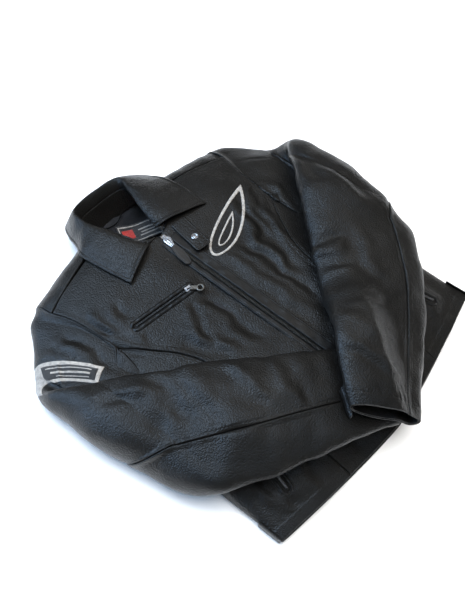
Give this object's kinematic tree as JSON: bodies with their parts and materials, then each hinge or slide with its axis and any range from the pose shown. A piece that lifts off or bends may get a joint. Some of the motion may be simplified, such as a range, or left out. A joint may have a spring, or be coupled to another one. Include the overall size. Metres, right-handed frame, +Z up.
{
  "type": "leather riding jacket",
  "caption": "Black leather riding jacket lying on its back, zip closed and both sleeves folded over the front, with an open shirt collar, a chest pocket and two hand pockets.",
  "frame": {"origin": "bottom centre of the bounding box, on the surface that the jacket lies on", "axes": "+Z up, out of the jacket's front; +Y towards the collar; +X towards the wearer's left"},
  "size_m": [0.7203, 0.7667, 0.1613],
  "materials": {
    "black_leather": "pebbled, semi-gloss",
    "black_lining": "fine twill, matt",
    "zip_tape": "woven, matt",
    "bright_metal": "worn nickel plate",
    "dark_metal": "gunmetal, satin",
    "embroidery": "satin-stitched thread",
    "label": "woven label with white and red thread",
    "pull_leather": "worn, satin"
  },
  "bodies": {
    "jacket": {"back_panel": "black_leather", "shoulder_yoke": "black_leather", "right_front_panel": "black_leather", "left_front_panel": "black_leather", "right_side_panel": "black_leather", "left_side_panel": "black_leather", "right_placket": "black_leather", "left_placket": "black_leather", "collar_leaf": "black_leather", "collar_stand": "black_leather", "back_lining": "black_lining", "right_front_lining": "black_lining", "left_front_lining": "black_lining", "neck_label": "label", "hanger_loop": "black_leather", "chest_emblem": "embroidery", "sleeve_badge": "embroidery", "right_top_sleeve": "black_leather", "right_under_sleeve": "black_leather", "right_sleeve_lining": "black_lining", "right_cuff_facing": "black_leather", "right_cuff_strap": "black_leather", "left_top_sleeve": "black_leather", "left_under_sleeve": "black_leather", "left_sleeve_lining": "black_lining", "left_cuff_facing": "black_leather", "left_cuff_lip": "black_leather", "right_zip_tape": "zip_tape", "left_zip_tape": "zip_tape", "right_zip_teeth": "dark_metal", "left_zip_teeth": "dark_metal", "zip_top_stops": "dark_metal", "zip_bottom_box": "dark_metal", "snap_stud": "bright_metal", "chest_welts": "black_leather", "chest_zip_tape": "zip_tape", "chest_zip_teeth": "bright_metal", "chest_pocket_bag": "black_lining", "right_hand_welts": "black_leather", "right_hand_zip": "bright_metal", "right_hand_bag": "black_lining", "left_hand_welts": "black_leather", "left_hand_zip": "bright_metal", "left_hand_bag": "black_lining", "right_side_tab": "black_leather", "left_side_tab": "black_leather"},
    "main_slider_body": {"main_slider": "bright_metal"},
    "main_pull_body": {"main_pull": "bright_metal", "pull_leather": "pull_leather"},
    "chest_slider_body": {"chest_slider": "bright_metal"},
    "chest_pull_body": {"chest_pull": "dark_metal"},
    "right_hand_slider_body": {"right_hand_slider": "bright_metal"},
    "right_hand_pull_body": {"right_hand_pull": "dark_metal"},
    "left_hand_slider_body": {"left_hand_slider": "bright_metal"},
    "left_hand_pull_body": {"left_hand_pull": "dark_metal"},
    "neck_tab_body": {"neck_tab": "black_leather", "snap_cap": "bright_metal", "snap_socket": "bright_metal"}
  },
  "joints": [
    {"name": "main_slider_slide", "type": "slide", "parent": "jacket", "child": "main_slider_body", "axis": [0, -0.9976, -0.0698], "range_m": [0, 0.3]},
    {"name": "main_pull_hinge", "type": "hinge", "parent": "main_slider_body", "child": "main_pull_body", "pos_m": [0.0015, 0.16388, 0.09146], "axis": [-0.9816, 0.1903, 0.0133], "range_deg": [0, 120]},
    {"name": "chest_slider_slide", "type": "slide", "parent": "jacket", "child": "chest_slider_body", "axis": [-0.9806, 0.1929, -0.0336], "range_m": [0, 0.1]},
    {"name": "chest_pull_hinge", "type": "hinge", "parent": "chest_slider_body", "child": "chest_pull_body", "pos_m": [-0.05357, 0.06283, 0.08657], "axis": [-0.7419, -0.6657, -0.0801], "range_deg": [0, 140]},
    {"name": "right_hand_slider_slide", "type": "slide", "parent": "jacket", "child": "right_hand_slider_body", "axis": [-0.2317, -0.9582, -0.1679], "range_m": [0, 0.125]},
    {"name": "right_hand_pull_hinge", "type": "hinge", "parent": "right_hand_slider_body", "child": "right_hand_pull_body", "pos_m": [-0.18751, -0.14311, 0.0686], "axis": [-0.9663, 0.2466, -0.0742], "range_deg": [0, 4]},
    {"name": "left_hand_slider_slide", "type": "slide", "parent": "jacket", "child": "left_hand_slider_body", "axis": [0.2317, -0.9582, -0.1679], "range_m": [0, 0.125]},
    {"name": "left_hand_pull_hinge", "type": "hinge", "parent": "left_hand_slider_body", "child": "left_hand_pull_body", "pos_m": [0.19051, -0.14311, 0.0686], "axis": [-0.9663, -0.2466, 0.0742], "range_deg": [0, 12]},
    {"name": "neck_tab_hinge", "type": "hinge", "parent": "jacket", "child": "neck_tab_body", "pos_m": [0.0435, 0.1691, 0.0916], "axis": [-0.9863, 0.165, 0], "range_deg": [0, 70]}
  ]
}
